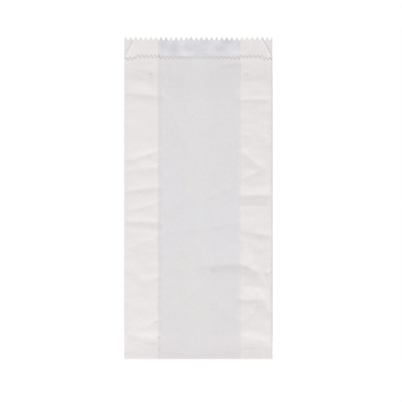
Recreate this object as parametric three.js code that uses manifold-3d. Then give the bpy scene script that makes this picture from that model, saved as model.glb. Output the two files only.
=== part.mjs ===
// Flat paper snack bag with side gussets: one sheet of paper, folded and glued, lying on its back
import * as THREE from "three";
import { ParametricGeometry } from "three/addons/geometries/ParametricGeometry.js";
import { mergeVertices } from "three/addons/utils/BufferGeometryUtils.js";
import Module from "manifold-3d";

const wasm = await Module();
wasm.setup();

// Size of the folded bag, in millimetres
const bagWidth = 110;
const bagHeight = 240;
const paper = 0.06;
const leftGusset = 25;
const rightGusset = 23.4;

// The knife cuts the front panel this much below the back panel, and the corners on a slant
const lipDrop = 14.4;
const cornerCut = 7.4;
const lipSideRise = 0.7;
const lipCornerDrop = 1;

// Teeth of the back edge and of the front lip
const backPitch = 3.77;
const backDepth = 2.9;
const backFirstTip = 0.8;
const lipPitch = 3.06;
const lipDepth = 1.6;
const lipFirstTip = 1.2;

// Glued lap down the back, and the bottom flap turned under the back
const lapWidth = 15;
const lapSlope = 2.5;
const tailLength = 1.8;
const glueFilm = 0.02;
const flapGlueLength = 6;
const flapGlueMargin = 4;

// Air between the layers: pressed flat at the bottom fold, loose in the body, and at the mouth
const foldGap = 0.03;
const bodyGap = 0.42;
const mouthGap = 0.3;
const bodyMiddleGap = 0.8;
const mouthMiddleGap = 0.5;
const creaseDepth = 0.15;
const foldRadius = 0.06;
const panelSlope = 4;
const panelStep = 1;

// Lengths over which the layers open from the bottom fold, settle off the flap, and meet at the mouth
const pressedLength = 8;
const openingLength = 35;
const flapSlope = 10;
const mouthFlat = 28;
const mouthSlope = 30;

// How finely the sheet is divided
const bodyStep = 8.5;
const frontStep = 9;
const turnSteps = 4;
const flapSteps = 3;
const mouthSteps = 2;

// Extra paper past each edge, which the knives take off, and how far they reach past the paper
const trim = 0.5;
const overhang = 1;
const topOfAll = 10;
const tailClearance = 0.3;

// Points closer than this are one point
const weld = 1e-4;

// Puckers pressed into the sides, each from the left edge and the bottom fold, with its turn in degrees
const puckers = [
  { x: 13, y: 197, long: 26, wide: 12, turn: -4, high: 0.35 },
  { x: 15, y: 158, long: 24, wide: 11, turn: 22, high: 0.45 },
  { x: 12, y: 130, long: 22, wide: 12, turn: 4, high: 0.3 },
  { x: 14, y: 104, long: 28, wide: 11, turn: -2, high: 0.5 },
  { x: 16, y: 16, long: 26, wide: 13, turn: -8, high: 0.3 },
  { x: 98, y: 191, long: 24, wide: 12, turn: 3, high: 0.35 },
  { x: 96, y: 147, long: 20, wide: 11, turn: -35, high: 0.5 },
  { x: 98, y: 118, long: 24, wide: 12, turn: 6, high: 0.35 },
  { x: 92, y: 62, long: 34, wide: 12, turn: -12, high: 0.5 },
  { x: 98, y: 20, long: 24, wide: 13, turn: 6, high: 0.3 },
];

// Places that follow from the sizes
const leftEdge = (paper - bagWidth) / 2;
const rightEdge = (bagWidth - paper) / 2;
const leftFold = leftEdge + leftGusset;
const rightFold = rightEdge - rightGusset;
const lipLine = bagHeight - lipDrop;
const flapLength = tailLength + lipDrop;
const tailEnd = tailLength + tailClearance;
const lapHeight = paper + glueFilm;
const settledLength = pressedLength / 2;

// The flap's waste ends between the sheet's own end and the place where the back goes down
const flapSheetEnd = flapLength + trim;
const flapRampStart = flapSheetEnd + trim;
const flapWasteEnd = (flapSheetEnd + flapRampStart) / 2;

// The waste past the lip ends halfway to the back's teeth
const lipWasteEnd = lipLine + lipDrop / 2;

const mix = THREE.MathUtils.lerp;
const ease = THREE.MathUtils.smoothstep;

// Heights of the sheet's middle in each layer over the middle of the back panel
function levels(gap, middleGap) {
  const layer = paper + gap;
  return {
    back: 0,
    lap: lapHeight,
    gussetBack: layer,
    gussetFront: 2 * layer,
    front: 3 * layer,
    middle: lapHeight + paper + middleGap,
  };
}

// Under the back panel the flap's middle touches it, and the cut corners of the gussets lie beside
function flapLevels() {
  const corner = levels(foldGap, foldGap);
  return {
    ...corner,
    gussetFront: corner.gussetBack,
    front: corner.gussetFront,
    middle: paper + glueFilm - 2 * foldRadius,
  };
}

function blend(a, b, share) {
  return Object.fromEntries(Object.keys(a).map((name) => [name, mix(a[name], b[name], share)]));
}

const pressed = levels(foldGap, foldGap);
const loose = levels(bodyGap, bodyMiddleGap);
const mouth = levels(mouthGap, mouthMiddleGap);
const tucked = flapLevels();

// The bottom fold turns about a line this far up the bag from its lowest edge
const foldReach = paper / 2 + foldRadius + pressed.front;

function levelsAt(y) {
  const opened = blend(pressed, loose, ease(y, pressedLength, pressedLength + openingLength));
  const nearMouth = bagHeight - mouthFlat;
  return blend(opened, mouth, ease(y, nearMouth - mouthSlope, nearMouth));
}

// Height of the back panel's middle: over the flap, then down on the table
function backHeight(y) {
  const overFold = paper / 2 + pressed.front + 2 * foldRadius;
  const overFlap = paper / 2 + tucked.front + 2 * foldRadius;
  const settled = mix(overFold, overFlap, ease(y, tailEnd, settledLength));
  return mix(settled, paper / 2, ease(y, flapRampStart, flapLength + flapSlope));
}

// How far one pucker lifts the front at a point
function lift({ x, y, long, wide, turn, high }, px, py) {
  const angle = THREE.MathUtils.degToRad(turn);
  const dx = px - (leftEdge + x);
  const dy = py - y;
  const along = (dx * Math.cos(angle) + dy * Math.sin(angle)) / (long / 2);
  const across = (dy * Math.cos(angle) - dx * Math.sin(angle)) / (wide / 2);
  return high * Math.exp(-along * along - across * across);
}

function puckerAt(x, y) {
  return puckers.reduce((sum, one) => sum + lift(one, x, y), 0);
}

// A place across the sheet: x, the layer or layers it belongs to, and 1 where the front's cut line
// applies, 0 where the back's does. The outside and inside lie this far out from the layer's middle
function station(x, layer, cut, other = layer) {
  const height = (level) => (level[layer] + level[other]) / 2;
  return { x, cut, height, outside: paper / 2, inside: -paper / 2 };
}

// The glued lap: both layers in the middle, and the inner layer alone past the outer one's edge
function lap() {
  const single = station(0, "back", 0);
  const inside = -lapHeight - paper / 2;
  return [
    { ...single, x: lapWidth / 2 },
    { ...single, x: lapWidth / 2, inside },
    { ...single, x: -lapWidth / 2, inside },
    { ...single, x: -lapWidth / 2, inside, outside: inside + paper },
    { ...single, x: -lapWidth / 2 - lapSlope },
  ];
}

function flat(layer, cut, from, to, step) {
  const count = Math.max(1, Math.round(Math.abs(to - from) / step));
  return Array.from({ length: count + 1 }, (_, i) => station(mix(from, to, i / count), layer, cut));
}

// One side from the back panel up to the front: outward is -1 on the left and 1 on the right
function side(edge, fold, outward) {
  const nearEdge = edge - outward * creaseDepth;
  const nearFold = fold + outward * creaseDepth;
  const slant = edge - outward * cornerCut;
  return [
    station(nearEdge, "back", 0),
    station(edge, "back", 0, "gussetBack"),
    station(nearEdge, "gussetBack", 0),
    station(slant, "gussetBack", 0),
    station(nearFold, "gussetBack", 0),
    station(fold, "gussetBack", 0, "gussetFront"),
    station(nearFold, "gussetFront", 0),
    station(slant, "gussetFront", 0),
    station(nearEdge, "gussetFront", 1),
    station(edge, "gussetFront", 1, "front"),
    station(nearEdge, "front", 1),
  ];
}

// The whole way round the bag, from the lap in the middle of the back
function stationsAcross() {
  const leftStep = leftFold + panelStep;
  const rightStep = rightFold - panelStep;
  return [
    ...lap(),
    ...side(leftEdge, leftFold, -1),
    ...flat("front", 1, leftEdge + frontStep, leftStep, frontStep),
    ...flat("middle", 1, leftStep + panelSlope, rightStep - panelSlope, frontStep),
    ...flat("front", 1, rightStep, rightEdge - frontStep, frontStep),
    ...side(rightEdge, rightFold, 1).reverse(),
  ];
}

// Rows along the sheet: each gives the middle of the sheet at a station
function bodyRow(y) {
  const level = levelsAt(y);
  const puckered = (s) => {
    const share = (s.height(level) - level.lap) / (level.front - level.lap);
    return puckerAt(s.x, y) * THREE.MathUtils.clamp(share, 0, 1);
  };
  return (s) => new THREE.Vector3(s.x, y, backHeight(y) + s.height(level) + puckered(s));
}

function mouthRow(share) {
  const start = bagHeight - mouthFlat;
  return (s) => {
    const end = bagHeight - s.cut * (lipDrop - lipSideRise) + trim;
    return bodyRow(mix(start, end, share))(s);
  };
}

function turnRow(share) {
  const angle = Math.PI * share;
  const axisZ = backHeight(0) - foldRadius;
  return (s) => {
    const radius = foldRadius + s.height(pressed);
    return new THREE.Vector3(s.x, foldReach - radius * Math.sin(angle), axisZ + radius * Math.cos(angle));
  };
}

// Past the turn the layers of the back's cut line soon end, and the front goes on as the flap
function flapRow(index) {
  const tailY = mix(foldReach, tailLength, (index + 1) / flapSteps);
  const frontY = mix(tailEnd, flapSheetEnd, index / (flapSteps - 1));
  return (s) => {
    const y = mix(tailY, frontY, s.cut);
    const level = index > 0 && s.cut > 0 ? tucked : pressed;
    return new THREE.Vector3(s.x, y, backHeight(y) - 2 * foldRadius - s.height(level));
  };
}

function shares(count) {
  return Array.from({ length: count }, (_, i) => (i + 1) / count);
}

// From the flap's edge, round the bottom fold and up to the mouth
function rowsAlong() {
  const lastY = bagHeight - mouthFlat;
  const low = [foldReach, tailEnd, settledLength, pressedLength, flapRampStart];
  const first = flapLength + flapSlope;
  const count = Math.round((lastY - first) / bodyStep);
  const high = Array.from({ length: count + 1 }, (_, i) => mix(first, lastY, i / count));
  return [
    ...[...Array(flapSteps).keys()].reverse().map(flapRow),
    ...shares(turnSteps).reverse().map(turnRow),
    ...[...low, ...high].map(bodyRow),
    ...shares(mouthSteps).map(mouthRow),
  ];
}

// Mean of the unit steps into and out of a point, or the one step where the sheet ends there
function meanStep(before, here, after) {
  const steps = [];
  if (before) steps.push(here.clone().sub(before).normalize());
  if (after) steps.push(after.clone().sub(here).normalize());
  return steps.reduce((sum, one) => sum.add(one), new THREE.Vector3()).divideScalar(steps.length);
}

// The sheet as one closed skin: u runs round the bag, v up its outside and back down its inside
function sheetGeometry() {
  const stations = stationsAcross();
  const middle = rowsAlong().map((row) => stations.map((s) => row(s)));
  const rows = middle.length;
  const columns = stations.length;

  const outward = (r, i) => {
    const here = middle[r][i];
    const left = middle[r][(i + columns - 1) % columns];
    const right = middle[r][(i + 1) % columns];
    const across = meanStep(left, here, right);
    const along = meanStep(middle[r - 1]?.[i], here, middle[r + 1]?.[i]);
    return across.cross(along).normalize();
  };

  const place = (u, v, target) => {
    const i = Math.round(u * columns) % columns;
    const k = Math.round(v * 2 * rows) % (2 * rows);
    const onOutside = k < rows;
    const r = onOutside ? k : 2 * rows - 1 - k;
    const offset = onOutside ? stations[i].outside : stations[i].inside;
    target.copy(outward(r, i)).multiplyScalar(offset).add(middle[r][i]);
  };
  return new ParametricGeometry(place, columns, 2 * rows);
}

// Solids for cutting and joining
function solidOf(geometry) {
  const bare = geometry.clone();
  bare.deleteAttribute("normal");
  bare.deleteAttribute("uv");
  const merged = mergeVertices(bare, weld);
  const corners = merged.index.array;
  const triangles = [];
  for (let i = 0; i < corners.length; i += 3) {
    const [a, b, c] = corners.slice(i, i + 3);
    if (a !== b && b !== c && c !== a) triangles.push(a, b, c);
  }
  return new wasm.Manifold(
    new wasm.Mesh({
      numProp: 3,
      vertProperties: merged.attributes.position.array,
      triVerts: new Uint32Array(triangles),
    }),
  );
}

function geometryOf(solid) {
  const { vertProperties, triVerts } = solid.getMesh();
  const geometry = new THREE.BufferGeometry();
  geometry.setAttribute("position", new THREE.BufferAttribute(vertProperties, 3));
  geometry.setIndex(new THREE.BufferAttribute(triVerts, 1));
  geometry.computeVertexNormals();
  return geometry;
}

// Corners of a row of teeth between two places, with a tip at firstTip and valleys halfway
function teeth(from, to, firstTip, pitch, depth, tipLine) {
  const half = pitch / 2;
  const points = [];
  const start = Math.ceil((from - firstTip) / half);
  const end = Math.floor((to - firstTip) / half);
  const drop = (x) => {
    const place = Math.abs((x - firstTip) / pitch - Math.round((x - firstTip) / pitch));
    return 2 * place * depth;
  };
  points.push(new THREE.Vector2(from, tipLine - drop(from)));
  for (let i = start; i <= end; i += 1) {
    const x = firstTip + i * half;
    points.push(new THREE.Vector2(x, tipLine - drop(x)));
  }
  points.push(new THREE.Vector2(to, tipLine - drop(to)));
  return points;
}

// The knife: takes off all paper past a line of teeth, between two heights
function knife(points, past, low, high) {
  const first = points[0];
  const last = points[points.length - 1];
  const waste = new THREE.Shape([
    ...points,
    new THREE.Vector2(last.x, past),
    new THREE.Vector2(first.x, past),
  ]);
  const geometry = new THREE.ExtrudeGeometry(waste, { depth: high - low, bevelEnabled: false });
  return solidOf(geometry.translate(0, 0, low));
}

function backKnife() {
  const from = leftEdge - overhang;
  const to = rightEdge + overhang;
  const points = teeth(from, to, leftEdge + backFirstTip, backPitch, backDepth, bagHeight);
  return knife(points, bagHeight + backDepth, -overhang, topOfAll);
}

// The front lip is cut in five runs: low at the corners, high over the gussets, level in between
function lipKnives() {
  const table = paper / 2;
  const overGussets = table + (mouth.gussetFront + mouth.front) / 2;
  const overBack = table + (mouth.lap + mouth.middle) / 2;
  const split = panelStep / 2;
  const firstTip = leftEdge + lipFirstTip;
  const runs = [
    [leftEdge - overhang, leftEdge + cornerCut, -lipCornerDrop, overGussets],
    [leftEdge + cornerCut, leftFold + split, lipSideRise, overGussets],
    [leftFold + split, rightFold - split, 0, overBack],
    [rightFold - split, rightEdge - cornerCut, lipSideRise, overGussets],
    [rightEdge - cornerCut, rightEdge + overhang, -lipCornerDrop, overGussets],
  ];
  return runs.map(([from, to, rise, low]) => {
    const points = teeth(from, to, firstTip, lipPitch, lipDepth, lipLine + rise);
    return knife(points, lipWasteEnd, low, topOfAll);
  });
}

// The flap's edge is the front lip of the next bag on the roll
function flapKnife() {
  const from = leftEdge - overhang;
  const to = rightEdge + overhang;
  const points = teeth(from, to, leftEdge + lipFirstTip, lipPitch, lipDepth, flapLength);
  const height = backHeight(flapLength) - foldRadius;
  return knife(points, flapWasteEnd, -overhang, height);
}

// Glue between the bottom flap and the back panel
function flapGlueFilm() {
  const high = backHeight(flapLength);
  const low = high - paper - glueFilm;
  const width = rightFold - leftFold - 2 * (panelStep + panelSlope + flapGlueMargin);
  const x = (leftFold + rightFold) / 2;
  const y = flapLength - lipDepth - flapGlueMargin - flapGlueLength / 2;
  const film = new THREE.BoxGeometry(width, flapGlueLength, high - low);
  return solidOf(film.translate(x, y, (low + high) / 2));
}

function paperBag() {
  let bag = solidOf(sheetGeometry());
  bag = bag.subtract(backKnife());
  lipKnives().forEach((one) => {
    bag = bag.subtract(one);
  });
  bag = bag.subtract(flapKnife());
  return bag.add(flapGlueFilm());
}

const whitePaper = new THREE.MeshStandardMaterial({
  color: 0xdddcde,
  roughness: 0.85,
  metalness: 0,
  side: THREE.DoubleSide,
});

const mesh = new THREE.Mesh(geometryOf(paperBag()), whitePaper);
mesh.name = "paper_bag";
mesh.position.y = -bagHeight / 2;

const group = new THREE.Group();
group.add(mesh);

export default group;
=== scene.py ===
"""The paper snack bag: one thin sheet, folded and glued, lying on its back on a white floor."""

import logging
import math
from collections.abc import Callable, Sequence
from dataclasses import dataclass, field
from enum import Enum
from functools import partial
from typing import Union

import bmesh
import bpy
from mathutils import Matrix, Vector, noise


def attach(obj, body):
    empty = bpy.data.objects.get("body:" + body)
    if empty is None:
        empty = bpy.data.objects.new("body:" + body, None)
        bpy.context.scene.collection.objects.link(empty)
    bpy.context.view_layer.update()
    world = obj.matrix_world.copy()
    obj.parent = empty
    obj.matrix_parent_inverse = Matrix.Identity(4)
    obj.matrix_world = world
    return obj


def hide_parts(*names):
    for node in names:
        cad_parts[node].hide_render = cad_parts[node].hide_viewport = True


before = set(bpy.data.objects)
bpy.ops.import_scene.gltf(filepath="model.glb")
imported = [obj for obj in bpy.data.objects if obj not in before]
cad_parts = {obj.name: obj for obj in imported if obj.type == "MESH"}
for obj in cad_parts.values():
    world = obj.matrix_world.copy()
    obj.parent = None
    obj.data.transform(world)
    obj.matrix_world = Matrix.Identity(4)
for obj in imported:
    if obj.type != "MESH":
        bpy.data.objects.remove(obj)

log = logging.getLogger("snack_bag")
MM = 0.001
CUT_DISTANCE = "cut_distance_mm"
FAR_OFF = 99.0
SHARP_ANGLE = 50.0
GRID_HALF = 0.5

Colour = tuple[float, float, float, float]
Socket = bpy.types.NodeSocket
Value = Union[Socket, float]


class Layer(Enum):
    """The layers of the folded sheet, from the table up."""

    BACK = "back"
    LAP = "lap"
    GUSSET_BACK = "gusset_back"
    GUSSET_FRONT = "gusset_front"
    FRONT = "front"
    MIDDLE = "middle"


class Zone(Enum):
    """Material slots of the sheet, by what shows on top."""

    FRONT = 0
    GUSSET_FRONT = 1
    GUSSET_BACK = 2
    BACK = 3


def mix(a: float, b: float, share: float) -> float:
    """Returns the value between a and b at the share."""
    return a + (b - a) * share


def ease(value: float, low: float, high: float) -> float:
    """Returns a smooth step from 0 at low to 1 at high."""
    share = min(max((value - low) / (high - low), 0.0), 1.0)
    return share * share * (3.0 - 2.0 * share)


def add_object(name: str, data: bpy.types.ID) -> bpy.types.Object:
    """Makes an object of the data and puts it in the scene.

    Args:
        name: the object's name.
        data: its mesh, light or camera.

    Returns:
        The object, at the origin.
    """
    made = bpy.data.objects.new(name, data)
    bpy.context.scene.collection.objects.link(made)
    return made


@dataclass(frozen=True)
class Crease:
    """A valley pressed into the soft bag, or a ridge where its depth is below zero.

    It runs from one point to another, in millimetres from the left edge and the bottom fold. It is
    sharp along its line, fades at both ends and swells out over the two widths. fade and full_from are
    shares of its length, and rounding softens its line, in millimetres.
    """

    x0: float
    y0: float
    x1: float
    y1: float
    above: float
    below: float
    deep: float
    fade: float = 0.3
    full_from: float = 0.15
    rounding: float = 0.25

    def lift(self, x: float, y: float) -> float:
        """Works out how far the crease lifts the front at a point.

        Args:
            x: distance from the left edge.
            y: distance from the bottom fold.

        Returns:
            The height in millimetres, below zero in a valley.
        """
        start, end = sorted([(self.x0, self.y0), (self.x1, self.y1)])
        run = Vector((end[0] - start[0], end[1] - start[1]))
        here = Vector((x - start[0], y - start[1]))
        along = here.dot(run) / run.length_squared
        if not -self.fade <= along <= 1.0 + self.fade:
            return 0.0
        across = (here.y * run.x - here.x * run.y) / run.length
        wide = self.above if across > 0.0 else self.below
        strength = ease(along, -self.fade, self.full_from)
        strength *= 1.0 - ease(along, 1.0 - self.full_from, 1.0 + self.fade)
        return -self.deep * strength * math.exp(-math.hypot(across, self.rounding) / wide)


CREASES = (
    Crease(23.5, 15.8, 26.5, 17.3, 1.3, 1.3, 0.6),
    Crease(23.5, 9.5, 26.5, 6.9, 1.5, 1.2, 0.48),
    Crease(105.3, 64.2, 109.8, 65.3, 2, 2, 0.6),
    Crease(-0.3, 41.5, 4.2, 43.7, 1.6, 1.6, 0.17),
    Crease(80, 201.4, 86.7, 189.5, 2.4, 2.4, 0.25),
    Crease(33.9, 192.5, 25, 198.5, 2.4, 2.4, 0.22),
    Crease(-0.3, 198.1, 24.2, 195.9, 3.5, 2.4, 0.48),
    Crease(4.2, 148.6, 24.2, 154.6, 2.3, 2.8, 0.47),
    Crease(4.2, 140.4, 24.2, 143.4, 3.5, 4, 0.43),
    Crease(3.4, 125.5, 24.2, 127.8, 4, 2.3, 0.58),
    Crease(4.2, 110.7, 25, 116.6, 2.6, 2.2, 0.31),
    Crease(-1.1, 102.1, 25, 101.7, 2.6, 1.6, 0.42),
    Crease(7.1, 83.9, 24.2, 91.3, 2.6, 2.3, 0.29),
    Crease(13.8, 56.4, 25, 61.6, 2.1, 2.1, 0.29),
    Crease(19, 25.5, 25, 29.9, 1.2, 1.2, 0.41),
    Crease(5.6, 17.7, 25, 12.5, 4.5, 2.1, 1.01),
    Crease(11.6, 22.1, 19, 25.1, 1.4, 1.4, 0.18),
    Crease(88.2, 192.9, 106.8, 193.3, 3.2, 2.3, 0.76),
    Crease(88.2, 167.2, 94.2, 166.8, 1.6, 1.6, 0.29),
    Crease(99.4, 162.8, 105.3, 165.7, 1.6, 1.6, 0.29),
    Crease(94.9, 157.5, 99.4, 160.5, 1.6, 1.6, 0.25),
    Crease(88.2, 153.8, 103.1, 142.7, 2.1, 3, 0.58),
    Crease(88.2, 134.5, 101.6, 140.4, 2.1, 2.1, 0.4),
    Crease(87.5, 121.8, 106.8, 122.2, 3.5, 2.8, 0.79),
    Crease(87.5, 95.4, 109.1, 91.7, 5.3, 2.3, 0.62),
    Crease(57, 69, 72.6, 70.5, 8, 3.2, 0.85),
    Crease(72.6, 70.5, 90.5, 69.4, 8, 3.4, 1.2),
    Crease(90.5, 69.4, 99, 65, 4, 3, 0.9),
    Crease(86, 44.1, 102.4, 44.5, 4.4, 2.3, 0.828),
    Crease(102.4, 45.9, 108.3, 34.8, 2.6, 2.3, 0.47),
    Crease(94.9, 34, 101.6, 42.2, 1.1, 1.1, 0.31),
    Crease(88.2, 26.6, 94.9, 34, 3, 1.8, 0.36),
    Crease(86.7, 9.5, 103.1, 8.7, 5, 2.1, 1.01),
    Crease(93.4, 72, 106.8, 87.6, 2.6, 2.6, 0.36),
    Crease(26.5, 199.9, 48.8, 155.3, 3.5, 4.4, 0.29),
    Crease(66.6, 171.7, 86, 198.5, 4.4, 3.5, 0.29),
    Crease(30.9, 109.2, 53.3, 125.5, 3.5, 3.5, 0.24),
    Crease(60, 119.6, 80, 128.5, 2.1, 2.6, 0.32),
    Crease(26.5, 92.8, 56.2, 97.3, 7, 2.8, 0.31),
    Crease(65.2, 98.8, 86, 101.7, 7, 2.8, 0.34),
    Crease(28, 30.3, 56.2, 54.1, 5.3, 4.4, 0.32),
    Crease(66.6, 43.7, 84.5, 27.3, 4.4, 4.4, 0.32),
    Crease(18.3, 212.2, 21.3, 213, 0.9, 0.9, 0.29),
    Crease(89.7, 213, 92.7, 212.6, 0.9, 0.9, 0.29),
    Crease(4, 208, 20, 206.5, 4.4, 4, -0.3),
    Crease(90, 206.5, 104, 208, 4.4, 4, -0.26),
    Crease(10.1, 96.9, 25, 96.5, 1.6, 2.1, -0.2),
    Crease(87.5, 114.4, 106.8, 114.4, 1.6, 2.1, -0.29),
    Crease(88.2, 54.9, 100.9, 53.8, 1.8, 2.1, -0.36),
)


@dataclass(frozen=True)
class Wrinkle:
    """Soft waves of one size in the front, deeper over the gussets."""

    wide: float
    long: float
    middle_height: float
    side_height: float
    seed: float

    def lift(self, x: float, y: float, side: float) -> float:
        """Works out how far the waves lift the front at a point.

        Args:
            x: distance from the left edge.
            y: distance from the bottom fold.
            side: 1 over a gusset and 0 between the two.

        Returns:
            The height in millimetres.
        """
        height = mix(self.middle_height, self.side_height, side)
        return height * noise.noise(Vector((x / self.wide, y / self.long, self.seed)))


WRINKLES = (Wrinkle(13.0, 7.0, 0.1, 0.22, 3.0), Wrinkle(5.0, 4.0, 0.03, 0.08, 8.0))
PATCHINESS = Wrinkle(40.0, 26.0, 0.9, 0.9, 5.0)
MEAN_PATCH = 0.55


@dataclass(frozen=True)
class Teeth:
    """A saw-toothed edge: tips a pitch apart, valleys halfway."""

    pitch: float
    depth: float
    first_tip: float

    def drop(self, x: float) -> float:
        """Returns how far the edge lies below its tips, at a distance from the left edge."""
        turns = (x - self.first_tip) / self.pitch
        return 2.0 * abs(turns - round(turns)) * self.depth

    def corners(self, start: float, end: float) -> list[float]:
        """Lists the places of tips and valleys between two places.

        Args:
            start: first place, from the left edge.
            end: last place.

        Returns:
            The places in order.
        """
        half = self.pitch / 2
        first = math.ceil((start - self.first_tip) / half)
        last = math.floor((end - self.first_tip) / half)
        return [self.first_tip + i * half for i in range(first, last + 1)]


@dataclass(frozen=True)
class BagSizes:
    """Sizes of the folded bag in millimetres; teeth and lip drop differ a little from the solid's."""

    width: float = 110.0
    height: float = 240.0
    paper: float = 0.06
    left_gusset: float = 25.0
    right_gusset: float = 23.4
    lip_drop: float = 14.2
    corner_cut: float = 7.4
    lip_side_rise: float = 0.7
    lip_corner_drop: float = 1.0
    lip_step: float = 0.5
    lap_width: float = 15.0
    lap_slope: float = 2.5
    glue_film: float = 0.02
    tail_length: float = 1.8
    tail_clearance: float = 0.3
    back_teeth: Teeth = Teeth(3.77, 3.1, 0.8)
    lip_teeth: Teeth = Teeth(3.06, 2.4, 1.2)

    @property
    def left_fold(self) -> float:
        """Inner fold of the left gusset, from the left edge."""
        return self.left_gusset

    @property
    def right_fold(self) -> float:
        """Inner fold of the right gusset, from the left edge."""
        return self.width - self.right_gusset

    @property
    def lip(self) -> float:
        """Tips of the front lip between the gussets, from the bottom fold."""
        return self.height - self.lip_drop

    @property
    def flap_length(self) -> float:
        """Length of the bottom flap under the back."""
        return self.tail_length + self.lip_drop

    @property
    def tail_end(self) -> float:
        """Where the flap runs clear of the cut-off tails."""
        return self.tail_length + self.tail_clearance

    def inward(self, x: float) -> float:
        """Returns how far a place lies in from the nearer side."""
        return min(x, self.width - x)


@dataclass(frozen=True)
class Looseness:
    """Air between the layers along the bag, and where the wrinkles calm down, in millimetres."""

    fold_gap: float = 0.03
    body_gap: float = 0.42
    mouth_gap: float = 0.03
    lip_gap: float = 0.2
    left_corner_lift: float = 0.42
    right_corner_lift: float = 0.26
    corner_lift_width: float = 4.0
    corner_lift_slope: float = 3.0
    body_middle_gap: float = 0.8
    mouth_middle_gap: float = 0.1
    fold_radius: float = 0.06
    crease_depth: float = 0.18
    pressed_length: float = 4.0
    opening_length: float = 24.0
    settling_length: float = 5.0
    flap_rest: float = 1.0
    flap_slope: float = 10.0
    mouth_flat: float = 17.0
    mouth_slope: float = 30.0
    panel_step: float = 0.4
    panel_slope: float = 2.0
    lip_calm_start: float = 12.0
    lip_calm_end: float = 3.0
    fold_calm_start: float = 1.0
    fold_calm_end: float = 9.0
    edge_calm: float = 0.9
    gusset_fade_start: float = 1.0
    gusset_fade_end: float = 3.0
    valley_share: float = 0.8
    least_room: float = 0.001


@dataclass(frozen=True)
class Station:
    """A place across the sheet.

    x is the distance from the left edge. The height is a mix of two layers' heights. edge is the layer
    whose cut line ends the sheet here.
    """

    x: float
    low: Layer
    high: Layer
    share: float
    edge: Layer

    def height(self, levels: dict[Layer, float]) -> float:
        """Returns the height of the sheet's middle over the back panel's."""
        return mix(levels[self.low], levels[self.high], self.share)


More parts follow.
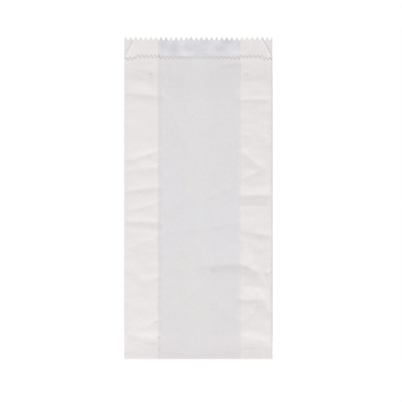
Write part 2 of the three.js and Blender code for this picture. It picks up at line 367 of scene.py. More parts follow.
@dataclass
class FoldedBag:
    """The sheet, folded round the gussets, lapped down the back and turned up at the bottom."""

    sizes: BagSizes = field(default_factory=BagSizes)
    loose: Looseness = field(default_factory=Looseness)
    row_step: float = 1.15
    turn_rows: int = 6
    flap_rows: int = 8
    mouth_rows: int = 5
    mouth_length: float = 6.0
    crease_turns: int = 4
    tooth_gap: float = 0.12
    sliver: float = 0.01

    def levels(self, gap: float, front_gap: float, middle_gap: float) -> dict[Layer, float]:
        """Stacks the layers over the back panel for the air between them.

        Args:
            gap: air between the layers of a gusset.
            front_gap: air between a gusset and the front.
            middle_gap: air between the front and the back between the gussets.

        Returns:
            The height of each layer's middle.
        """
        step = self.sizes.paper + gap
        lap = self.sizes.paper + self.sizes.glue_film
        return {
            Layer.BACK: 0.0,
            Layer.LAP: lap,
            Layer.GUSSET_BACK: step,
            Layer.GUSSET_FRONT: 2 * step,
            Layer.FRONT: 2 * step + self.sizes.paper + front_gap,
            Layer.MIDDLE: lap + self.sizes.paper + middle_gap,
        }

    def pressed(self) -> dict[Layer, float]:
        """Returns the levels at the bottom fold."""
        gap = self.loose.fold_gap
        return self.levels(gap, gap, gap)

    def tucked(self) -> dict[Layer, float]:
        """Works out the levels of the flap under the back panel.

        Returns:
            The height of each layer's middle, counted down from the back panel's.
        """
        levels = self.pressed()
        levels[Layer.FRONT] = levels[Layer.GUSSET_FRONT]
        levels[Layer.GUSSET_FRONT] = levels[Layer.GUSSET_BACK]
        levels[Layer.MIDDLE] = self.sizes.paper + self.sizes.glue_film - 2 * self.loose.fold_radius
        return levels

    def levels_at(self, y: float) -> dict[Layer, float]:
        """Works out the levels along the bag: pressed at the fold, loose, and closed at the mouth.

        Args:
            y: distance from the bottom fold.

        Returns:
            The height of each layer's middle.
        """
        loose = self.loose
        pressed = self.pressed()
        body = self.levels(loose.body_gap, loose.body_gap, loose.body_middle_gap)
        mouth = self.levels(loose.mouth_gap, loose.lip_gap, loose.mouth_middle_gap)
        opening = ease(y, loose.pressed_length, loose.pressed_length + loose.opening_length)
        near_mouth = self.sizes.height - loose.mouth_flat
        closing = ease(y, near_mouth - loose.mouth_slope, near_mouth)
        return {k: mix(mix(pressed[k], body[k], opening), mouth[k], closing) for k in pressed}

    def back_height(self, y: float) -> float:
        """Works out the height of the back panel's middle: over the flap, then down on the table.

        Args:
            y: distance from the bottom fold.

        Returns:
            The height over the table.
        """
        half = self.sizes.paper / 2
        turn = 2 * self.loose.fold_radius
        over_fold = half + self.pressed()[Layer.FRONT] + turn
        over_flap = half + self.tucked()[Layer.FRONT] + turn
        settled = mix(over_fold, over_flap, self.settling(y))
        end = self.sizes.flap_length
        return mix(settled, half, ease(y, end + self.loose.flap_rest, end + self.loose.flap_slope))

    def settling(self, y: float) -> float:
        """Returns how far the layers past the cut-off tails have come together, from 0 to 1."""
        return ease(y, self.sizes.tail_end, self.sizes.tail_end + self.loose.settling_length)

    def fold_reach(self) -> float:
        """Returns how far up the bag the line lies about which the bottom fold turns."""
        return self.sizes.paper / 2 + self.loose.fold_radius + self.pressed()[Layer.FRONT]

    def mouth_start(self) -> float:
        """Returns where the rows begin to lean towards the knife's cut."""
        return self.sizes.lip - self.mouth_length

    def mouth_end(self, x: float, edge: Layer) -> float:
        """Works out where the knife ends a layer at the mouth.

        Args:
            x: distance from the left edge.
            edge: the layer.

        Returns:
            The distance from the bottom fold.
        """
        s = self.sizes
        inward = s.inward(x)
        if edge is Layer.FRONT:
            side = x < s.left_fold + s.lip_step or x > s.right_fold - s.lip_step
            rise = s.lip_side_rise if side else 0.0
            rise = -s.lip_corner_drop if inward < s.corner_cut else rise
            return s.lip + rise - s.lip_teeth.drop(x)
        toothed = s.height - s.back_teeth.drop(x)
        if edge is Layer.GUSSET_FRONT:
            return min(toothed, s.lip - s.lip_corner_drop + inward / s.corner_cut * s.lip_drop)
        return toothed

    def flap_end(self, x: float, edge: Layer) -> float:
        """Works out where the knife ends a layer past the bottom fold.

        Args:
            x: distance from the left edge.
            edge: the layer.

        Returns:
            The distance back up the bag.
        """
        s = self.sizes
        if edge is Layer.FRONT:
            return s.flap_length - s.lip_teeth.drop(x)
        if edge is Layer.GUSSET_FRONT:
            off_corner = max(0.0, 1.0 - s.inward(x) / s.corner_cut)
            return s.tail_length + off_corner * (s.lip_drop - s.lip_teeth.depth)
        return s.tail_length

    def run(self, low: Layer, high: Layer, edge: Layer, start: float, end: float) -> list[Station]:
        """Lists stations from one place to another, with one at each tooth's tip and valley.

        Args:
            low: layer whose height the sheet has at the start.
            high: layer whose height it has at the end.
            edge: layer whose cut line ends the sheet.
            start: first place, from the left edge.
            end: last place.

        Returns:
            The stations in order.
        """
        teeth = self.sizes.lip_teeth if edge is Layer.FRONT else self.sizes.back_teeth
        near = self.tooth_gap * teeth.pitch
        inner = [x for x in teeth.corners(min(start, end), max(start, end))
                 if abs(x - start) > near and abs(x - end) > near]
        inner.sort(reverse=start > end)
        return [Station(x, low, high, ease(abs(x - start), 0.0, abs(end - start)), edge)
                for x in (start, *inner, end)]

    def crease(self, x: float, outward: float, low: Layer, high: Layer, edge: Layer) -> list[Station]:
        """Lists stations round a fold between two layers.

        Args:
            x: the fold's outermost place.
            outward: -1 for a fold that points left and 1 for one that points right.
            low: layer below the fold.
            high: layer above it.
            edge: layer whose cut line ends the sheet.

        Returns:
            The stations, from the lower layer up.
        """
        stations = []
        for i in range(1, self.crease_turns):
            angle = math.pi * i / self.crease_turns
            place = x - outward * self.loose.crease_depth * (1.0 - math.sin(angle))
            stations.append(Station(place, low, high, (1.0 - math.cos(angle)) / 2, edge))
        return stations

    def side(self, edge: float, fold: float, outward: float) -> list[Station]:
        """Lists stations of one gusset, from the back panel's edge up to the front panel's.

        Args:
            edge: the bag's edge on this side.
            fold: the gusset's inner fold.
            outward: -1 on the left and 1 on the right.

        Returns:
            The stations in order.
        """
        depth = self.loose.crease_depth
        near_edge = edge - outward * depth
        near_fold = fold + outward * depth
        back, inner, outer, front = Layer.BACK, Layer.GUSSET_BACK, Layer.GUSSET_FRONT, Layer.FRONT
        return [
            *self.crease(edge, outward, back, inner, back),
            *self.run(inner, inner, back, near_edge, near_fold),
            *self.crease(fold, -outward, inner, outer, back),
            *self.run(outer, outer, outer, near_fold, near_edge),
            *self.crease(edge, outward, outer, front, outer),
        ]

    def stations(self) -> list[Station]:
        """Lists all places across the sheet.

        Returns:
            The stations from the lap's inner edge round to its outer edge.
        """
        s, step, slope = self.sizes, self.loose.panel_step, self.loose.panel_slope
        lap_low, lap_high = (s.width - s.lap_width) / 2, (s.width + s.lap_width) / 2
        left_edge, right_edge = s.paper / 2, s.width - s.paper / 2
        near_left = left_edge + self.loose.crease_depth
        near_right = right_edge - self.loose.crease_depth
        left, right = s.left_fold + step, s.right_fold - step
        back, lap, front, middle = Layer.BACK, Layer.LAP, Layer.FRONT, Layer.MIDDLE
        return [
            *self.run(lap, lap, back, lap_high, lap_low),
            *self.run(lap, back, back, lap_low, lap_low - s.lap_slope)[1:],
            *self.run(back, back, back, lap_low - s.lap_slope, near_left)[1:],
            *self.side(left_edge, s.left_fold, -1.0),
            *self.run(front, front, front, near_left, left),
            *self.run(front, middle, front, left, left + slope)[1:],
            *self.run(middle, middle, front, left + slope, right - slope)[1:],
            *self.run(middle, front, front, right - slope, right)[1:],
            *self.run(front, front, front, right, near_right)[1:],
            *self.side(right_edge, s.right_fold, 1.0)[::-1],
            *self.run(back, back, back, near_right, lap_low),
        ]

    def relief(self, x: float, y: float) -> float:
        """Adds up all creases and fine wrinkles at a point of the front.

        Args:
            x: distance from the left edge.
            y: distance from the bottom fold.

        Returns:
            The height in millimetres, below zero in a valley.
        """
        s, loose = self.sizes, self.loose
        inward = s.inward(x)
        off_lip = 1.0 - ease(y, s.lip - loose.lip_calm_start, s.lip - loose.lip_calm_end)
        off_fold = ease(y, loose.fold_calm_start, loose.fold_calm_end)
        calm = off_lip * off_fold * ease(inward, 0.0, loose.edge_calm)
        middle = ease(inward, s.right_gusset - loose.gusset_fade_start, s.left_gusset + loose.gusset_fade_end)
        patchy = MEAN_PATCH + PATCHINESS.lift(x, y, 0.0)
        wrinkles = patchy * sum(one.lift(x, y, 1.0 - middle) for one in WRINKLES)
        return calm * (sum(one.lift(x, y) for one in CREASES) + wrinkles)

    def corner_rise(self, x: float, y: float) -> float:
        """Works out how far the slanted corner of a front gusset layer stands up, past the lip.

        Args:
            x: distance from the left edge.
            y: distance from the bottom fold.

        Returns:
            The height in millimetres.
        """
        s, loose = self.sizes, self.loose
        off_cut = s.inward(x) - (y - s.lip) / s.lip_drop * s.corner_cut
        high = loose.left_corner_lift if x < s.width / 2 else loose.right_corner_lift
        near_cut = 1.0 - ease(off_cut, 0.0, loose.corner_lift_width)
        return high * near_cut * ease(y, s.lip, s.lip + loose.corner_lift_slope)

    def body_point(self, station: Station, y: float) -> Vector:
        """Places the sheet's middle in the body of the bag.

        Args:
            station: place across the sheet.
            y: distance from the bottom fold.

        Returns:
            The point, from the left edge, the bottom fold and the table.
        """
        levels = self.levels_at(y)
        height = station.height(levels)
        share = (height - levels[Layer.LAP]) / (levels[Layer.FRONT] - levels[Layer.LAP])
        air = levels[Layer.FRONT] - self.pressed()[Layer.FRONT]
        room = self.loose.valley_share * air + self.loose.least_room
        lift = self.relief(station.x, y)
        lift = room * math.tanh(lift / room) if lift < 0.0 else lift
        lift *= min(max(share, 0.0), 1.0)
        if station.low is Layer.GUSSET_FRONT and station.high is Layer.GUSSET_FRONT:
            lift += self.corner_rise(station.x, y)
        return Vector((station.x, y, self.back_height(y) + height + lift))

    def flap_point(self, station: Station, index: int) -> Vector:
        """Places the sheet's middle past the bottom fold, under the back.

        Args:
            station: place across the sheet.
            index: number of the row, counted from the fold.

        Returns:
            The point, from the left edge, the bottom fold and the table.
        """
        tail_end, end = self.sizes.tail_end, self.flap_end(station.x, station.edge)
        goes_on = end > tail_end + self.sliver
        if goes_on:
            y = mix(tail_end, end, index / (self.flap_rows - 1))
        else:
            y = mix(self.fold_reach(), end, (index + 1) / self.flap_rows)
        settled = self.settling(y) if goes_on else 0.0
        height = mix(station.height(self.pressed()), station.height(self.tucked()), settled)
        return Vector((station.x, y, self.back_height(y) - 2 * self.loose.fold_radius - height))

    def turn_point(self, station: Station, share: float) -> Vector:
        """Places the sheet's middle on the turn of the bottom fold.

        Args:
            station: place across the sheet.
            share: how far round, from 0 above to 1 below.

        Returns:
            The point, from the left edge, the bottom fold and the table.
        """
        angle = math.pi * share
        radius = self.loose.fold_radius + station.height(self.pressed())
        y = self.fold_reach() - radius * math.sin(angle)
        axis = self.back_height(0) - self.loose.fold_radius
        return Vector((station.x, y, axis + radius * math.cos(angle)))

    def mouth_point(self, station: Station, share: float) -> Vector:
        """Returns the sheet's middle at a share of the way up to the knife's cut."""
        end = self.mouth_end(station.x, station.edge)
        return self.body_point(station, mix(self.mouth_start(), end, share))

    def rows(self) -> list[Callable[[Station], Vector]]:
        """Lists the rows along the sheet, from the flap's edge round the fold and up to the mouth.

        Returns:
            For each row, what gives the sheet's middle at a station.
        """
        start, end = self.fold_reach(), self.mouth_start()
        count = round((end - start) / self.row_step)
        return [
            *[partial(self.flap_point, index=i) for i in reversed(range(self.flap_rows))],
            *[partial(self.turn_point, share=i / self.turn_rows) for i in range(self.turn_rows, 0, -1)],
            *[partial(self.body_point, y=mix(start, end, i / count)) for i in range(count + 1)],
            *[partial(self.mouth_point, share=(i + 1) / self.mouth_rows) for i in range(self.mouth_rows)],
        ]

    def zone(self, left: Station, right: Station) -> Zone:
        """Chooses the material slot of the strip between two stations.

        Args:
            left: first station.
            right: next station.

        Returns:
            The slot.
        """
        layers = {left.low, left.high, right.low, right.high}
        if layers & {Layer.FRONT, Layer.MIDDLE}:
            return Zone.FRONT
        if Layer.GUSSET_FRONT in layers:
            return Zone.GUSSET_FRONT
        if Layer.GUSSET_BACK in layers:
            return Zone.GUSSET_BACK
        return Zone.BACK

    def folded_mesh(self) -> bpy.types.Mesh:
        """Folds a flat grid into the sheet's middle.

        Returns:
            The mesh in metres, with its material slots and each point's distance from the knife's cut.
        """
        stations, rows = self.stations(), self.rows()
        columns, count = len(stations), len(rows)
        bm = bmesh.new()
        bmesh.ops.create_grid(bm, x_segments=columns - 1, y_segments=count - 1, size=GRID_HALF)
        off_cut = bm.verts.layers.float.new(CUT_DISTANCE)
        first_body = self.flap_rows + self.turn_rows
        places = {}
        for v in bm.verts:
            column = round((v.co.x + GRID_HALF) * (columns - 1))
            row = round((v.co.y + GRID_HALF) * (count - 1))
            places[v] = (column, row)
        for face in bm.faces:
            first = min(places[v][0] for v in face.verts)
            face.material_index = self.zone(stations[first], stations[first + 1]).value
            face.smooth = True
        centre = Vector((self.sizes.width / 2, self.sizes.height / 2, 0.0))
        for v, (column, row) in places.items():
            station = stations[column]
            point = rows[row](station)
            from_mouth = self.mouth_end(station.x, station.edge) - point.y
            v[off_cut] = from_mouth if row >= first_body else FAR_OFF
            v.co = (point - centre) * MM
        mesh = bpy.data.meshes.new("folded_paper")
        bm.to_mesh(mesh)
        bm.free()
        return mesh

    def build(self) -> bpy.types.Object:
        """Gives the folded sheet the paper's thickness.

        Returns:
            The finished object at the origin, in metres.
        """
        bag = add_object("folded_paper", self.folded_mesh())
        wall = bag.modifiers.new("paper thickness", "SOLIDIFY")
        wall.thickness = self.sizes.paper * MM
        wall.offset = 0.0
        depsgraph = bpy.context.evaluated_depsgraph_get()
        solid = bpy.data.meshes.new_from_object(bag.evaluated_get(depsgraph))
        bag.modifiers.clear()
        bag.data = solid
        solid.set_sharp_from_angle(angle=math.radians(SHARP_ANGLE))
        return bag


@dataclass(frozen=True)
class Pattern:
    """A cloudy pattern: how fine it is, and how many finer layers it has."""

    scale: float
    detail: float


EDGE_WAVES = Pattern(90.0, 2.0)
HUE_DRIFT = Pattern(30.0, 3.0)
CLOUDS = Pattern(105.0, 5.0)
SPECKS = Pattern(620.0, 3.0)
FIBRES = Pattern(900.0, 3.0)


class NodeBench:
    """Adds and links the nodes of one material or world."""

    def __init__(self, owner: bpy.types.ID, output: str) -> None:
        """Empties the owner's node tree and adds its output.

        Args:
            owner: the material or world.
            output: kind of its output node.
        """
        owner.use_nodes = True
        self.tree = owner.node_tree
        self.tree.nodes.clear()
        self.output = self.tree.nodes.new(output)

    def node(self, kind: str, **settings: object) -> bpy.types.Node:
        """Adds a node.

        Args:
            kind: the node's type.
            **settings: its properties.

        Returns:
            The node.
        """
        made = self.tree.nodes.new(kind)
        for name, value in settings.items():
            setattr(made, name, value)
        return made

    def link(self, source: Socket, target: Socket) -> None:
        """Links two sockets."""
        self.tree.links.new(source, target)

    def feed(self, target: Socket, value: object) -> None:
        """Links a socket to the target, or sets the target to a plain value.

        Args:
            target: the input.
            value: a socket, a number or a colour.
        """
        if isinstance(value, bpy.types.NodeSocket):
            self.link(value, target)
        else:
            target.default_value = value

    def math(self, operation: str, a: Value, b: Value = 0.0, c: Value = 0.0, clamp: bool = False) -> Socket:
        """Adds a Math node.

        Args:
            operation: what it does.
            a: first value.
            b: second value.
            c: third value.
            clamp: whether the result stays between 0 and 1.

        Returns:
            Its result.
        """
        made = self.node("ShaderNodeMath", operation=operation, use_clamp=clamp)
        for socket, value in zip(made.inputs, (a, b, c)):
            self.feed(socket, value)
        return made.outputs[0]

    def scaled(self, value: Socket, gain: float, offset: Value, clamp: bool = False) -> Socket:
        """Returns the value times the gain, plus the offset."""
        return self.math("MULTIPLY_ADD", value, gain, offset, clamp)

    def blend(self, share: Value, a: object, b: object, way: str = "MIX") -> Socket:
        """Adds a colour Mix node.

        Args:
            share: how much of the second colour goes in.
            a: first colour.
            b: second colour.
            way: how the two are mixed.

        Returns:
            Its result.
        """
        made = self.node("ShaderNodeMix", data_type="RGBA", blend_type=way)
        for name, value in (("Factor_Float", share), ("A_Color", a), ("B_Color", b)):
            self.feed(next(i for i in made.inputs if i.identifier == name), value)
        return next(o for o in made.outputs if o.identifier == "Result_Color")

    def tinted(self, mask: Value, colour: object, tint: object) -> Socket:
        """Returns the colour, multiplied by the tint where the mask is 1."""
        return self.blend(mask, colour, self.blend(1.0, colour, tint, "MULTIPLY"))

    def noise(self, where: Socket, pattern: Pattern) -> Socket:
        """Adds a cloudy pattern.

        Args:
            where: the coordinates.
            pattern: how fine it is.

        Returns:
            Its strength, about 0.5 on the whole.
        """
        made = self.node("ShaderNodeTexNoise")
        made.inputs["Scale"].default_value = pattern.scale
        made.inputs["Detail"].default_value = pattern.detail
        self.link(where, made.inputs["Vector"])
        return made.outputs["Fac"]


@dataclass(frozen=True)
class Mark:
    """A spot of painted shade where dark, of painted highlight where light, and past the lip a patch of
    uneven tone: millimetres from the left edge and bottom fold, half its length and width.

    turn is its angle in degrees from the bag's width, dark its strength, below 0 for a light spot.
    """

    x: float
    y: float
    long: float
    wide: float
    turn: float
    dark: float


# dark marks: painted shade in creases and along the gusset folds; light marks: painted highlights on slopes
# facing the low light; those past the lip are patches of uneven tone
MARKS = (
    Mark(19.8, 212.7, 0.8, 0.6, 0, 1),
    Mark(91.2, 212.8, 0.8, 0.6, 0, 1),
    Mark(26, 16.2, 1.3, 0.6, 40, 1),
    Mark(25.7, 7.8, 1.5, 0.45, -70, 0.8),
    Mark(23.2, 27.8, 2.4, 0.4, 36, 0.6),
    Mark(25.4, 45.9, 1.2, 0.35, -8, 0.6),
    Mark(25.4, 101.9, 0.9, 0.4, 80, 0.5),
    Mark(108.9, 65.1, 1.2, 0.7, 80, 1),
    Mark(109, 224.5, 0.8, 0.5, 80, 0.7),
    Mark(80, 68.8, 11, 1.6, 5, 0.35),
    Mark(90.8, 67.8, 3.4, 1.5, -22, 0.65),
    Mark(85.7, 43.7, 0.9, 0.4, -55, 0.6),
    Mark(98.3, 38.8, 2.2, 0.6, 44, 0.55),
    Mark(19.8, 11.9, 5, 0.9, -8, 0.4),
    Mark(91.6, 8, 5.5, 0.8, 2, 0.5),
    Mark(36.9, 231.2, 4.5, 3, 70, 0.6),
    Mark(70.7, 231.2, 4.5, 1.8, 15, 0.55),
    Mark(76.7, 236.8, 4.2, 2.2, 0, 0.9),
    Mark(28.3, 232.7, 6, 2.2, 85, 0.35),
    Mark(46.6, 227.5, 4.6, 2, 5, -0.7),
    Mark(66.3, 236.8, 3.6, 2.2, 0, -0.5),
    Mark(82.3, 228.2, 3.6, 2.8, 20, -0.7),
    Mark(35, 237.9, 1.8, 1.2, 60, -0.6),
    Mark(79.3, 218.2, 7, 1.6, 8, 0.4),
    Mark(66.3, 65.7, 2.6, 1.3, -25, 0.35),
    Mark(93.1, 49.7, 3.6, 1.6, -25, -0.3),
    Mark(91.2, 18.8, 3.8, 1.7, -8, -0.25),
    Mark(16.4, 18.8, 5, 1.5, -22, -0.2),
    Mark(105.3, 55.6, 5.5, 0.9, -62, -0.2),
    Mark(25.4, 154.6, 1, 0.35, 80, 0.5),
    Mark(25.6, 143.4, 0.9, 0.35, 75, 0.5),
    Mark(25.5, 132.2, 0.8, 0.35, 85, 0.4),
    Mark(25.7, 115.5, 0.9, 0.35, 80, 0.4),
    Mark(55, 15.4, 26, 3.6, 0, 0.16),
    Mark(55, 5, 26, 2.8, 0, -0.07),
)
# tints for painted shade and painted highlights, which also make the patches of uneven tone past the lip
SHADE_AND_PATCH_TINT = (0.86, 0.86, 0.89, 1.0)
HIGHLIGHT_AND_PATCH_TINT = (1.16, 1.15, 1.13, 1.0)
MARK_SOFTNESS = 0.6


@dataclass
class PaperMap:
    """Masks over the flat bag, made from its own coordinates and the bag's sizes.

    Lengths given with MM are in metres, and the other lengths in millimetres.
    """

    bench: NodeBench
    sizes: BagSizes
    fold_soft: float = 0.35 * MM
    wave_height: float = 1.0 * MM
    lap_soft: float = 4.2 * MM
    flap_inset: float = 3.0
    flap_soft: float = 2.8 * MM
    # where the painted shade along the folded sides and the bottom fold reaches, and its softness
    side_shade_line: float = 0.45
    bottom_shade_line: float = 0.55
    shade_line_soft: float = 0.25 * MM
    # width and softness of the painted shadow along the knife's cut, in millimetres
    cut_shadow_width: float = 0.3
    cut_shadow_soft: float = 0.1
    blue_drop: float = 14.0 * MM
    blue_half: float = 35.0 * MM
    blue_soft: float = 20.0 * MM
    blue_beside_lap: float = 0.75
    blue_strength: float = 0.8
    drift_gain: float = 4.5
    drift_offset: float = -2.1
    shade_top: float = 70.0 * MM
    shade_soft: float = 20.0 * MM

    def __post_init__(self) -> None:
        """Splits the bag's own coordinates and masks the lap."""
        self.where = self.bench.node("ShaderNodeTexCoord").outputs["Object"]
        split = self.bench.node("ShaderNodeSeparateXYZ")
        self.bench.link(self.where, split.inputs[0])
        self.x, self.y = split.outputs["X"], split.outputs["Y"]
        self.off_middle = self.bench.math("ABSOLUTE", self.x)
        self.on_lap = self.under(self.off_middle, self.sizes.lap_width / 2 * MM, self.lap_soft)

    def at_x(self, from_left: float) -> float:
        """Returns the coordinate of a place given in millimetres from the left edge."""
        return (from_left - self.sizes.width / 2) * MM

    def at_y(self, from_fold: float) -> float:
        """Returns the coordinate of a place given in millimetres from the bottom fold."""
        return (from_fold - self.sizes.height / 2) * MM

    def over(self, value: Socket, edge: float, soft: float) -> Socket:
        """Returns 1 where the value lies over the edge and 0 under it, with a soft change."""
        return self.bench.scaled(value, 0.5 / soft, 0.5 - edge * 0.5 / soft, clamp=True)

    def under(self, value: Socket, edge: float, soft: float) -> Socket:
        """Returns 1 where the value lies under the edge and 0 over it, with a soft change."""
        return self.bench.scaled(value, -0.5 / soft, 0.5 + edge * 0.5 / soft, clamp=True)

    def cloudy(self, pattern: Pattern) -> Socket:
        """Returns a cloudy pattern over the bag."""
        return self.bench.noise(self.where, pattern)

    def between_folds(self) -> Socket:
        """Masks the strip between the gussets, with slightly wavy sides.

        Returns:
            1 on the strip.
        """
        wave = self.bench.scaled(self.cloudy(EDGE_WAVES), 2.0 * self.wave_height, -self.wave_height)
        waved = self.bench.math("ADD", self.x, wave)
        after_left = self.over(waved, self.at_x(self.sizes.left_fold), self.fold_soft)
        before_right = self.under(waved, self.at_x(self.sizes.right_fold), self.fold_soft)
        return self.bench.math("MULTIPLY", after_left, before_right)

    def past_lip(self) -> Socket:
        """Returns 1 past the front lip."""
        return self.over(self.y, self.at_y(self.sizes.lip), self.fold_soft)

    def on_flap(self) -> Socket:
        """Returns 1 over the bottom flap, where the tint is partly the tone of its extra layers and partly
        painted shade.
        """
        return self.under(self.y, self.at_y(self.sizes.flap_length - self.flap_inset), self.flap_soft)

    def on_fold_shade(self) -> Socket:
        """Masks the thin line of painted shade along the folded sides and the bottom fold.

        Returns:
            1 on the line.
        """
        side = self.over(self.off_middle, -self.at_x(self.side_shade_line), self.shade_line_soft)
        bottom = self.under(self.y, self.at_y(self.bottom_shade_line), self.shade_line_soft)
        return self.bench.math("MAXIMUM", side, bottom)

    def on_cut_shadow(self) -> Socket:
        """Returns 1 on the rim along the knife's cut, where painted shadow darkens the paper."""
        distance = self.bench.node("ShaderNodeAttribute", attribute_name=CUT_DISTANCE)
        return self.under(distance.outputs["Fac"], self.cut_shadow_width, self.cut_shadow_soft)

    def shaded_side(self) -> Socket:
        """Returns 1 on the lower right of the bag, which is a little darker."""
        right_half = self.over(self.x, 0.0, self.fold_soft)
        return self.bench.math("MULTIPLY", right_half, self.under(self.y, self.shade_top, self.shade_soft))

    def bluish(self) -> Socket:
        """Masks the cloudy band across the bag that is bluer than the rest, less so over the lap.

        Returns:
            1 where it is bluish.
        """
        off_band = self.bench.math("ABSOLUTE", self.bench.math("ADD", self.y, self.blue_drop))
        band = self.under(off_band, self.blue_half, self.blue_soft)
        beside_lap = self.bench.scaled(self.on_lap, -self.blue_beside_lap, self.blue_beside_lap)
        blue = self.bench.math("MULTIPLY", band, beside_lap)
        drift = self.bench.scaled(self.cloudy(HUE_DRIFT), self.drift_gain, self.drift_offset)
        return self.bench.scaled(blue, self.blue_strength, drift, clamp=True)

    def spot(self, mark: Mark) -> Socket:
        """Masks one mark.

        Args:
            mark: its place, size and strength.

        Returns:
            The mark's strength on it and 0 off it.
        """
        flat = self.bench.node("ShaderNodeMapping", vector_type="TEXTURE")
        flat.inputs["Location"].default_value = (self.at_x(mark.x), self.at_y(mark.y), 0.0)
        flat.inputs["Rotation"].default_value = (0.0, 0.0, math.radians(mark.turn))
        flat.inputs["Scale"].default_value = (mark.long * MM, mark.wide * MM, 1.0)
        self.bench.link(self.where, flat.inputs["Vector"])
        away = self.bench.node("ShaderNodeVectorMath", operation="LENGTH")
        self.bench.link(flat.outputs[0], away.inputs[0])
        inside = self.under(away.outputs["Value"], 1.0, MARK_SOFTNESS)
        return self.bench.math("MULTIPLY", inside, abs(mark.dark))


def linear(channel: float) -> float:
    """Returns the linear value of a screen channel from 0 to 255."""
    share = channel / 255.0
    return share / 12.92 if share <= 0.04045 else ((share + 0.055) / 1.055) ** 2.4


def tone(red: float, green: float, blue: float) -> Colour:
    """Returns a colour given in screen values as a linear colour."""
    return (linear(red), linear(green), linear(blue), 1.0)


# over the flap under the bottom end: partly the tone of its extra layers, partly painted shade
FLAP_LAYERS_AND_SHADE_TINT = (0.985, 0.976, 0.973, 1.0)
# painted shade: a thin darker line along the rounded folds at the sides and the bottom
FOLD_SHADE_TINT = (0.95, 0.93, 0.925, 1.0)
SHADE_TINT = (0.986, 0.986, 0.988, 1.0)
# painted shadow: a dark line along the knife's cut, where the lip's edge casts its shadow
CUT_SHADOW_TINT = (0.71, 0.73, 0.84, 1.0)
ROSY_TINT = (1.005, 0.994, 0.987, 1.0)
LAP_TINT = (1.004, 0.999, 0.991, 1.0)
BLUISH_TINT = (0.988, 0.992, 1.010, 1.0)


@dataclass(frozen=True)
class PaperFinish:
    """White bag paper whose tone follows how many layers lie under it."""

    name: str
    top_dark: Colour
    top_light: Colour
    middle: Colour
    lap: Colour
    sides: Colour
    cloud: float = 0.05
    # adds the painted shadow along the knife's cut
    painted_cut_shadow: bool = False
    roughness: float = 0.62
    rough_spread: float = 0.1
    grain: float = 0.12
    shine: float = 0.3
    bump_strength: float = 0.12
    bump_height: float = 0.05 * MM
    patch_gain: float = 2.2
    patch_offset: float = -0.6

    def layers(self, bench: NodeBench, paper: PaperMap, cloud: Socket) -> Socket:
        """Colours the bag by the layers that lie under each place.

        Args:
            bench: adds the nodes.
            paper: the masks.
            cloud: the cloudy pattern.

        Returns:
            The colour.
        """
        warm = bench.blend(paper.on_lap, ROSY_TINT, LAP_TINT)
        tint = bench.blend(paper.bluish(), warm, BLUISH_TINT)
        body = bench.blend(1.0, bench.blend(paper.on_lap, self.middle, self.lap), tint, "MULTIPLY")
        patches = bench.scaled(cloud, self.patch_gain, self.patch_offset, clamp=True)
        top = bench.blend(patches, self.top_dark, self.top_light)
        centre = bench.blend(paper.past_lip(), body, top)
        sides = bench.tinted(paper.shaded_side(), self.sides, SHADE_TINT)
        return bench.blend(paper.between_folds(), sides, centre)

    def marked(self, bench: NodeBench, paper: PaperMap, colour: Socket) -> Socket:
        """Tints the flap with its layers' tone and painted shade, adds painted shade along the outline and
        the knife's cut, and adds the marks of painted shade, painted highlight and uneven tone.

        Args:
            bench: adds the nodes.
            paper: the masks.
            colour: the colour of the layers.

        Returns:
            The tinted colour.
        """
        # tone of the flap's layers, with painted shade
        colour = bench.tinted(paper.on_flap(), colour, FLAP_LAYERS_AND_SHADE_TINT)
        # painted shade along the folded sides and the bottom fold
        colour = bench.tinted(paper.on_fold_shade(), colour, FOLD_SHADE_TINT)
        # painted shadow along the knife's cut
        if self.painted_cut_shadow:
            colour = bench.tinted(paper.on_cut_shadow(), colour, CUT_SHADOW_TINT)
        # marks of painted shade and painted highlight, and patches of uneven tone past the lip
        for mark in MARKS:
            colour = bench.tinted(paper.spot(mark), colour, SHADE_AND_PATCH_TINT if mark.dark > 0.0 else HIGHLIGHT_AND_PATCH_TINT)
        return colour

    def material(self, sizes: BagSizes) -> bpy.types.Material:
        """Builds the material.

        Args:
            sizes: the bag's sizes, for the places of the gusset folds and the lap.

        Returns:
            The finished material.
        """
        made = bpy.data.materials.new(self.name)
        bench = NodeBench(made, "ShaderNodeOutputMaterial")
        paper = PaperMap(bench, sizes)
        cloud, speck = paper.cloudy(CLOUDS), paper.cloudy(SPECKS)
        colour = self.marked(bench, paper, self.layers(bench, paper, cloud))
        clouds = bench.scaled(cloud, self.cloud, -self.cloud / 2)
        specks = bench.scaled(speck, self.grain, 1.0 - self.grain / 2)
        uneven = bench.node("ShaderNodeVectorMath", operation="SCALE")
        bench.link(colour, uneven.inputs[0])
        bench.link(bench.math("ADD", clouds, specks), uneven.inputs["Scale"])
        bump = bench.node("ShaderNodeBump")
        bump.inputs["Strength"].default_value = self.bump_strength
        bump.inputs["Distance"].default_value = self.bump_height
        bench.link(paper.cloudy(FIBRES), bump.inputs["Height"])
        shader = bench.node("ShaderNodeBsdfPrincipled")
        rough = bench.scaled(speck, self.rough_spread, self.roughness - self.rough_spread / 2)
        bench.link(uneven.outputs[0], shader.inputs["Base Color"])
        bench.link(rough, shader.inputs["Roughness"])
        bench.link(bump.outputs[0], shader.inputs["Normal"])
        shader.inputs["Specular IOR Level"].default_value = self.shine
        bench.link(shader.outputs[0], bench.output.inputs["Surface"])
        return made


def even_finish(name: str, colour: Colour, cloud: float) -> PaperFinish:
    """Returns a finish with one tone all over."""
    return PaperFinish(name, colour, colour, colour, colour, colour, cloud)


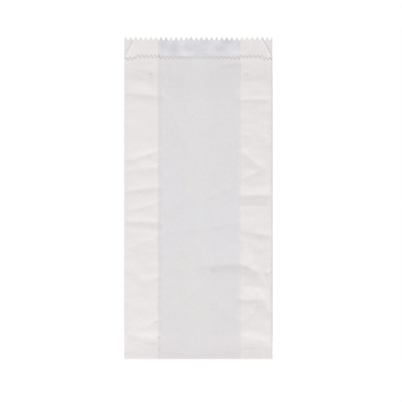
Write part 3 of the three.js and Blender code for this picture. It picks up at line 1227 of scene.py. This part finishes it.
FOUR_LAYERS = tone(231.2, 227.6, 226.9)
THREE_LAYERS = tone(230.8, 227.6, 226.2)
TWO_LAYERS = tone(223.2, 220.8, 222.3)
TWO_AND_LAP = tone(223.7, 221.8, 222.4)
TWO_IN_CORNER = tone(225.6, 224.0, 226.0)
ONE_LAYER_DARK = tone(211.5, 211.2, 217.8)
ONE_LAYER_LIGHT = tone(226.0, 224.6, 226.0)

FRONT_FINISH = PaperFinish(
    "front panel paper", TWO_LAYERS, TWO_LAYERS, TWO_LAYERS, TWO_AND_LAP, FOUR_LAYERS, painted_cut_shadow=True
)
BACK_FINISH = PaperFinish(
    "back panel paper", ONE_LAYER_DARK, ONE_LAYER_LIGHT, TWO_LAYERS, TWO_AND_LAP, FOUR_LAYERS
)
FINISHES = {
    Zone.FRONT: FRONT_FINISH,
    Zone.GUSSET_FRONT: even_finish("gusset paper under the front", THREE_LAYERS, cloud=0.14),
    Zone.GUSSET_BACK: even_finish("gusset paper over the back", TWO_IN_CORNER, cloud=0.24),
    Zone.BACK: BACK_FINISH,
}


@dataclass(frozen=True)
class Studio:
    """A white floor, soft light from the bag's bottom end and a camera straight above, in metres."""

    photo_pixels: int = 402
    bag_pixels: float = 147.86
    centre_x: float = 198.35
    centre_y: float = 198.1
    lens: float = 200.0
    sensor: float = 36.0
    floor_size: float = 3.0
    floor_drop: float = 0.00001
    floor_tone: float = 0.4
    floor_lift: float = 0.62
    low_from: tuple[float, float, float] = (-0.12, -1.0, 0.72)
    low_angle: float = 14.0
    low_strength: float = 2.45
    top_place: tuple[float, float, float] = (-0.35, -0.22, 1.4)
    top_size: float = 1.2
    top_power: float = 6.6
    room_light: float = 0.3

    def floor(self) -> None:
        """Lays the white floor, which keeps the bag's soft shadow."""
        bm = bmesh.new()
        bmesh.ops.create_grid(bm, x_segments=1, y_segments=1, size=self.floor_size / 2)
        bmesh.ops.translate(bm, verts=bm.verts, vec=(0.0, 0.0, -self.floor_drop))
        mesh = bpy.data.meshes.new("floor")
        bm.to_mesh(mesh)
        bm.free()
        floor = add_object("floor", mesh)
        mesh.materials.append(self.floor_material())

    def floor_material(self) -> bpy.types.Material:
        """Builds a matt pale surface that the camera alone sees lifted to white.

        Returns:
            The finished material.
        """
        made = bpy.data.materials.new("white floor")
        bench = NodeBench(made, "ShaderNodeOutputMaterial")
        matt = bench.node("ShaderNodeBsdfDiffuse")
        matt.inputs["Color"].default_value = (self.floor_tone, self.floor_tone, self.floor_tone, 1.0)
        path = bench.node("ShaderNodeLightPath")
        glow = bench.node("ShaderNodeEmission")
        lift = bench.math("MULTIPLY", path.outputs["Is Camera Ray"], self.floor_lift)
        bench.link(lift, glow.inputs["Strength"])
        both = bench.node("ShaderNodeAddShader")
        bench.link(matt.outputs[0], both.inputs[0])
        bench.link(glow.outputs[0], both.inputs[1])
        bench.link(both.outputs[0], bench.output.inputs["Surface"])
        return made

    def aimed(
        self, name: str, light: bpy.types.Light, source: tuple[float, float, float]
    ) -> bpy.types.Object:
        """Adds a lamp and turns it towards the bag.

        Args:
            name: the lamp's name.
            light: its light.
            source: the direction that it shines from.

        Returns:
            The lamp, still at the origin.
        """
        lamp = add_object(name, light)
        lamp.rotation_euler = (-Vector(source)).to_track_quat("-Z", "Y").to_euler()
        return lamp

    def lights(self) -> None:
        """Sets the low light from the bag's bottom end and the top light."""
        low = bpy.data.lights.new("low light", "SUN")
        low.angle = math.radians(self.low_angle)
        low.energy = self.low_strength
        self.aimed("low light", low, self.low_from)
        top = bpy.data.lights.new("top light", "AREA")
        top.size = self.top_size
        top.energy = self.top_power
        self.aimed("top light", top, self.top_place).location = self.top_place

    def room(self) -> None:
        """Surrounds the bag with dim white light, which the camera sees as plain white."""
        world = bpy.data.worlds.new("white room")
        bpy.context.scene.world = world
        bench = NodeBench(world, "ShaderNodeOutputWorld")
        path = bench.node("ShaderNodeLightPath")
        white = bench.node("ShaderNodeBackground")
        white.inputs["Color"].default_value = (1.0, 1.0, 1.0, 1.0)
        strength = bench.scaled(path.outputs["Is Camera Ray"], 1.0 - self.room_light, self.room_light)
        bench.link(strength, white.inputs["Strength"])
        bench.link(white.outputs[0], bench.output.inputs["Surface"])

    def camera(self, sizes: BagSizes) -> None:
        """Hangs the camera over the bag so that it fills the photo's part of the frame.

        Args:
            sizes: the bag's sizes, for the scale.
        """
        pixel = sizes.width / self.bag_pixels * MM
        data = bpy.data.cameras.new("camera")
        data.lens = self.lens
        data.sensor_width = self.sensor
        camera = add_object("camera", data)
        middle = self.photo_pixels / 2
        x = (middle - self.centre_x) * pixel
        y = (self.centre_y - middle) * pixel
        camera.location = (x, y, self.photo_pixels * pixel * self.lens / self.sensor)
        bpy.context.scene.camera = camera


def main() -> None:
    """Builds the bag and its studio, in order."""
    logging.basicConfig(level=logging.INFO, format="%(name)s: %(message)s")
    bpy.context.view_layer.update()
    sizes = BagSizes()
    bag = FoldedBag(sizes).build()
    for zone in Zone:
        bag.data.materials.append(FINISHES[zone].material(sizes))
    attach(bag, "root")
    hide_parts("paper_bag")
    log.info("folded paper: %d faces", len(bag.data.polygons))
    studio = Studio()
    studio.floor()
    studio.lights()
    studio.room()
    studio.camera(sizes)
    bpy.context.scene.view_settings.view_transform = "Standard"
    log.info("floor, lights and camera")


if __name__ == "__main__":
    main()
